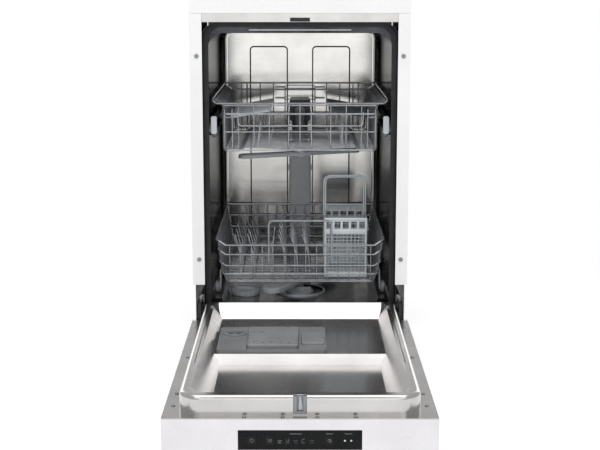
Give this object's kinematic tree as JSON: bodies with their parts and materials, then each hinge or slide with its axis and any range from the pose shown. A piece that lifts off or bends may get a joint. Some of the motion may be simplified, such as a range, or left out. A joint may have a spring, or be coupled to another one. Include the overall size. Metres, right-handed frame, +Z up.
{
  "type": "built-in dishwasher",
  "caption": "Slimline built-in dishwasher with its drop-down door open, a steel tub, two sliding wire baskets, spray arms, cutlery basket and a control strip on the door's top edge.",
  "frame": {"origin": "middle of the whole object's footprint, door open, on the floor plane", "axes": "+Z up, +Y towards the cabinet's back, +X to the right seen from the front"},
  "size_m": [0.448, 1.163, 0.82],
  "materials": {
    "white_paint": "satin white coat",
    "white_plastic": "satin",
    "stainless": "bright rolled",
    "galvanised": "galvanised",
    "black_plastic": "moulded",
    "dark_plastic": "moulded",
    "grey_plastic": "moulded",
    "pale_plastic": "moulded",
    "clear_plastic": "translucent",
    "gasket_rubber": "extruded",
    "black_steel": "black coat",
    "spring_steel": "drawn wire",
    "black_gloss": "polished",
    "circuit_board": "solder mask",
    "grey_wire": "nylon dip"
  },
  "bodies": {
    "cabinet": {"base_tray": "black_plastic", "levelling_feet": "black_plastic", "plinth_panel": "galvanised", "side_panels": "white_paint", "top_front_band": "white_paint", "top_cover": "galvanised", "rear_cover": "galvanised", "tub_wrap": "stainless", "tub_back": "stainless", "tub_floor": "stainless", "door_gasket": "gasket_rubber", "latch_hook": "black_plastic", "hinge_brackets": "black_steel", "hinge_springs": "spring_steel", "water_duct": "grey_plastic", "feed_dock": "dark_plastic", "sump": "black_plastic", "filter_plate": "stainless", "circulation_pump": "black_plastic", "drain_pump": "black_plastic", "softener_tank": "white_plastic", "inlet_valve": "white_plastic", "cable_gland": "black_plastic", "water_box": "clear_plastic", "cabinet_screws": "grey_plastic"},
    "salt_cap_body": {"salt_cap": "grey_plastic"},
    "filter_cup_body": {"filter_cup": "pale_plastic"},
    "lower_arm_body": {"lower_spray_arm": "pale_plastic"},
    "rail_roller_body": {"rail_rollers": "grey_plastic"},
    "rail_body": {"upper_rails": "stainless", "rail_end_caps": "pale_plastic"},
    "door_body": {"door_outer_panel": "white_paint", "door_inner_panel": "stainless", "control_console": "white_plastic", "control_fascia": "black_gloss", "control_board": "circuit_board", "dispenser_body": "grey_plastic", "latch_catch": "dark_plastic", "door_bottom_seal": "gasket_rubber", "hinge_arms": "black_steel", "door_screws": "spring_steel"},
    "lid_body": {"detergent_lid": "grey_plastic"},
    "rinse_cap_body": {"rinse_aid_cap": "grey_plastic"},
    "latch_body": {"dispenser_latch": "grey_plastic"},
    "power_body": {"power_button": "black_gloss"},
    "programme_body": {"programme_button": "black_gloss"},
    "half_load_body": {"half_load_button": "black_gloss"},
    "upper_basket_body": {"upper_basket": "grey_wire", "upper_feed_pipe": "grey_plastic"},
    "upper_arm_body": {"upper_spray_arm": "pale_plastic"},
    "shelf_left_body": {"cup_shelf_left": "grey_wire"},
    "shelf_right_body": {"cup_shelf_right": "grey_wire"},
    "basket_roller_front_body": {"basket_rollers_front": "grey_plastic"},
    "basket_roller_rear_body": {"basket_rollers_rear": "grey_plastic"},
    "lower_basket_body": {"lower_basket": "grey_wire"},
    "wheel_front_body": {"lower_wheels_front": "grey_plastic"},
    "wheel_rear_body": {"lower_wheels_rear": "grey_plastic"},
    "tine_body": {"folding_tines": "grey_wire"},
    "cutlery_body": {"cutlery_basket": "pale_plastic"},
    "cutlery_lid_body": {"cutlery_lid": "pale_plastic"}
  },
  "joints": [
    {"name": "door_hinge", "type": "hinge", "parent": "cabinet", "child": "door_body", "pos_m": [0, 0.056, 0.1455], "axis": [-1, 0, 0], "range_deg": [0, 90], "deforming": ["hinge_springs"]},
    {"name": "upper_basket_slide", "type": "slide", "parent": "cabinet", "child": "upper_basket_body", "axis": [0, 1, 0], "range_m": [-0.4, 0]},
    {"name": "rail_slide", "type": "slide", "parent": "cabinet", "child": "rail_body", "axis": [0, 1, 0], "range_m": [-0.2, 0]},
    {"name": "lower_basket_slide", "type": "slide", "parent": "cabinet", "child": "lower_basket_body", "axis": [0, 1, 0], "range_m": [-0.42, 0]},
    {"name": "basket_roller_front_turn", "type": "hinge", "parent": "upper_basket_body", "child": "basket_roller_front_body", "pos_m": [0, 0.3355, 0.556], "axis": [1, 0, 0], "range_deg": [-1300, 1300]},
    {"name": "basket_roller_rear_turn", "type": "hinge", "parent": "upper_basket_body", "child": "basket_roller_rear_body", "pos_m": [0, 0.4985, 0.556], "axis": [1, 0, 0], "range_deg": [-1300, 1300]},
    {"name": "rail_roller_turn", "type": "hinge", "parent": "cabinet", "child": "rail_roller_body", "pos_m": [0, 0.1425, 0.5346], "axis": [1, 0, 0], "range_deg": [-1500, 1500]},
    {"name": "wheel_front_turn", "type": "hinge", "parent": "lower_basket_body", "child": "wheel_front_body", "pos_m": [0, 0.1605, 0.20135], "axis": [1, 0, 0], "range_deg": [-2000, 2000]},
    {"name": "wheel_rear_turn", "type": "hinge", "parent": "lower_basket_body", "child": "wheel_rear_body", "pos_m": [0, 0.5085, 0.20135], "axis": [1, 0, 0], "range_deg": [-2000, 2000]},
    {"name": "upper_arm_spin", "type": "hinge", "parent": "upper_basket_body", "child": "upper_arm_body", "pos_m": [0, 0.3745, 0.464], "axis": [0, 0, 1], "continuous": true},
    {"name": "lower_arm_spin", "type": "hinge", "parent": "cabinet", "child": "lower_arm_body", "pos_m": [0, 0.3585, 0.176], "axis": [0, 0, 1], "continuous": true},
    {"name": "shelf_left_fold", "type": "hinge", "parent": "upper_basket_body", "child": "shelf_left_body", "pos_m": [-0.146, 0.3235, 0.566], "axis": [0, -1, 0], "range_deg": [0, 88]},
    {"name": "shelf_right_fold", "type": "hinge", "parent": "upper_basket_body", "child": "shelf_right_body", "pos_m": [0.146, 0.3235, 0.566], "axis": [0, 1, 0], "range_deg": [0, 88]},
    {"name": "salt_cap_turn", "type": "hinge", "parent": "cabinet", "child": "salt_cap_body", "pos_m": [-0.124, 0.2985, 0.158], "axis": [0, 0, 1], "continuous": true},
    {"name": "filter_cup_turn", "type": "hinge", "parent": "cabinet", "child": "filter_cup_body", "pos_m": [0, 0.3145, 0.15], "axis": [0, 0, 1], "range_deg": [0, 90]},
    {"name": "detergent_lid_slide", "type": "slide", "parent": "door_body", "child": "lid_body", "axis": [0, -1, 0], "range_m": [0, 0.09]},
    {"name": "rinse_cap_turn", "type": "hinge", "parent": "door_body", "child": "rinse_cap_body", "pos_m": [-0.128, -0.0995, 0.164], "axis": [0, 0, 1], "range_deg": [0, 90]},
    {"name": "dispenser_latch_press", "type": "slide", "parent": "door_body", "child": "latch_body", "axis": [0, 0, -1], "range_m": [0, 0.0028], "stiffness_N_per_m": 400, "springref_m": -0.002},
    {"name": "power_press", "type": "slide", "parent": "door_body", "child": "power_body", "axis": [0, 1, 0], "range_m": [0, 0.0012], "stiffness_N_per_m": 400, "springref_m": -0.002},
    {"name": "programme_press", "type": "slide", "parent": "door_body", "child": "programme_body", "axis": [0, 1, 0], "range_m": [0, 0.0012], "stiffness_N_per_m": 400, "springref_m": -0.002},
    {"name": "half_load_press", "type": "slide", "parent": "door_body", "child": "half_load_body", "axis": [0, 1, 0], "range_m": [0, 0.0012], "stiffness_N_per_m": 400, "springref_m": -0.002},
    {"name": "tine_fold", "type": "hinge", "parent": "lower_basket_body", "child": "tine_body", "pos_m": [-0.062, 0.3385, 0.226], "axis": [0, -1, 0], "range_deg": [0, 82]},
    {"name": "cutlery_lift", "type": "slide", "parent": "lower_basket_body", "child": "cutlery_body", "axis": [0, 0, 1], "range_m": [0, 0.06]},
    {"name": "cutlery_lid_open", "type": "hinge", "parent": "cutlery_body", "child": "cutlery_lid_body", "pos_m": [0.098, 0.3075, 0.355], "axis": [-1, 0, 0], "range_deg": [0, 100]}
  ],
  "couplings": [
    {"joint": "rail_slide", "follows": "upper_basket_slide", "ratio": 0.5},
    {"joint": "rail_roller_turn", "follows": "upper_basket_slide", "rad_per_m": 62.5},
    {"joint": "basket_roller_front_turn", "follows": "upper_basket_slide", "rad_per_m": 50},
    {"joint": "basket_roller_rear_turn", "follows": "upper_basket_slide", "rad_per_m": 50},
    {"joint": "wheel_front_turn", "follows": "lower_basket_slide", "rad_per_m": -76.923},
    {"joint": "wheel_rear_turn", "follows": "lower_basket_slide", "rad_per_m": -76.923}
  ]
}
